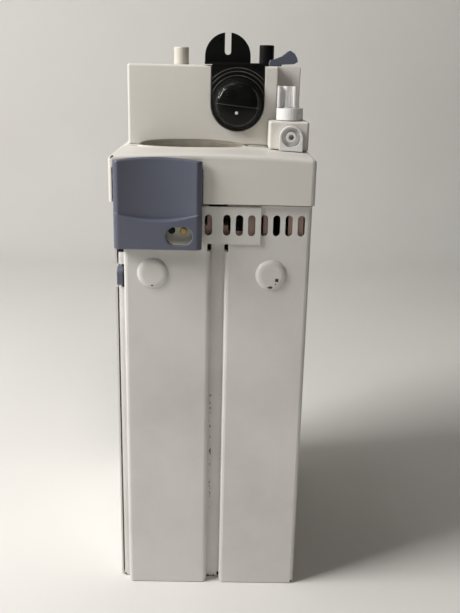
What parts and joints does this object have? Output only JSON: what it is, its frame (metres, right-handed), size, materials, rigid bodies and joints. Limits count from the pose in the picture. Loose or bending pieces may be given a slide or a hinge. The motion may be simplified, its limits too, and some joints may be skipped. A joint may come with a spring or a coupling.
{
  "type": "patient monitor gas module",
  "caption": "Plug-in gas analyser module for a patient monitor: guide-grooved sheet-metal casing, front bezel with release tab, push-in water trap, sampling port and inner pump, fan and boards.",
  "frame": {"origin": "middle of the rear end that the module stands on, at the bottom centre of its box", "axes": "+Z from the rear connector end up to the service end with the water trap; -Y is the side with the guide grooves and the release tab; +X is to the right when looking at that side"},
  "size_m": [0.075, 0.1156, 0.2226],
  "materials": {
    "powder_coat": "slightly grained off-white powder coat",
    "cream_plastic": "satin moulded cream plastic",
    "blue_plastic": "satin blue-grey plastic",
    "black_plastic": "glossy black plastic",
    "white_plastic": "glossy white plastic",
    "clear_plastic": "clear polished plastic, slightly grey",
    "rubber": "matt black rubber",
    "tubing": "milky flexible tubing",
    "steel": "zinc-plated steel",
    "aluminium": "machined aluminium",
    "brass": "bright brass",
    "insulation": "matt brown insulation sheet",
    "circuit_board": "green solder mask"
  },
  "bodies": {
    "casing": {"casing_sleeve": "powder_coat", "side_cover": "powder_coat", "vent_plate": "powder_coat", "rear_panel": "powder_coat", "rear_connector": "black_plastic", "connector_contacts": "brass", "rear_screw_1": "steel", "rear_screw_2": "steel", "rear_screw_3": "steel", "rear_screw_4": "steel", "side_screw_1": "steel", "side_screw_2": "steel", "side_screw_3": "steel", "side_screw_4": "steel", "front_bezel": "cream_plastic", "front_block": "cream_plastic", "trap_receptacle": "black_plastic", "exhaust_stub": "cream_plastic", "inlet_stub": "black_plastic", "port_block": "cream_plastic", "luer_port": "white_plastic", "port_collar": "white_plastic", "tab_pivot_pin": "steel", "tab_spring": "steel", "lever_pin": "steel", "window_plate": "white_plastic", "brass_stud": "brass", "dark_rivet": "black_plastic", "insulation_liner": "insulation", "chassis_frame": "aluminium", "main_board": "circuit_board", "measuring_board": "circuit_board", "ribbon_cable": "rubber", "gas_bench": "aluminium", "infrared_detector": "steel", "oxygen_sensor": "aluminium", "pump_motor": "steel", "pump_head": "black_plastic", "valve_manifold": "aluminium", "solenoid_valve_1": "black_plastic", "solenoid_valve_2": "black_plastic", "solenoid_valve_3": "black_plastic", "inlet_filter": "clear_plastic", "sample_tube": "tubing", "exhaust_tube": "tubing", "fan_frame": "black_plastic"},
    "release_lever": {"release_tab": "blue_plastic", "latch_arm": "steel", "latch_hook": "blue_plastic"},
    "water_trap": {"trap_cartridge": "black_plastic", "bowl_seal": "rubber", "trap_membrane": "black_plastic"},
    "bowl": {"trap_bowl": "clear_plastic"},
    "eject_lever": {"trap_lever": "blue_plastic"},
    "port_plug": {"port_grip": "white_plastic"},
    "pump_rotor": {"pump_shaft": "steel"},
    "fan_wheel": {"fan_rotor": "black_plastic"}
  },
  "joints": [
    {"name": "tab_press", "type": "hinge", "parent": "casing", "child": "release_lever", "pos_m": [-0.02, -0.0526, 0.172], "axis": [1, 0, 0], "range_deg": [0, 4], "stiffness_Nm_per_rad": 1, "springref_deg": -5.73},
    {"name": "trap_pull", "type": "slide", "parent": "casing", "child": "water_trap", "axis": [0, 0, 1], "range_m": [0, 0.036]},
    {"name": "bowl_twist", "type": "hinge", "parent": "water_trap", "child": "bowl", "pos_m": [0.0086, -0.023, 0.1961], "axis": [0, -1, 0], "range_deg": [0, 45]},
    {"name": "lever_lift", "type": "hinge", "parent": "casing", "child": "eject_lever", "pos_m": [0.024, 0, 0.2088], "axis": [0, -1, 0], "range_deg": [0, 25]},
    {"name": "plug_turn", "type": "hinge", "parent": "casing", "child": "port_plug", "pos_m": [0.0273, -0.026, 0.199], "axis": [0, 0, 1], "range_deg": [0, 90]},
    {"name": "pump_spin", "type": "hinge", "parent": "casing", "child": "pump_rotor", "pos_m": [0, 0.005, 0.042], "axis": [0, 0, 1], "continuous": true},
    {"name": "fan_spin", "type": "hinge", "parent": "casing", "child": "fan_wheel", "pos_m": [0, 0.0484, 0.06], "axis": [0, 1, 0], "continuous": true}
  ]
}
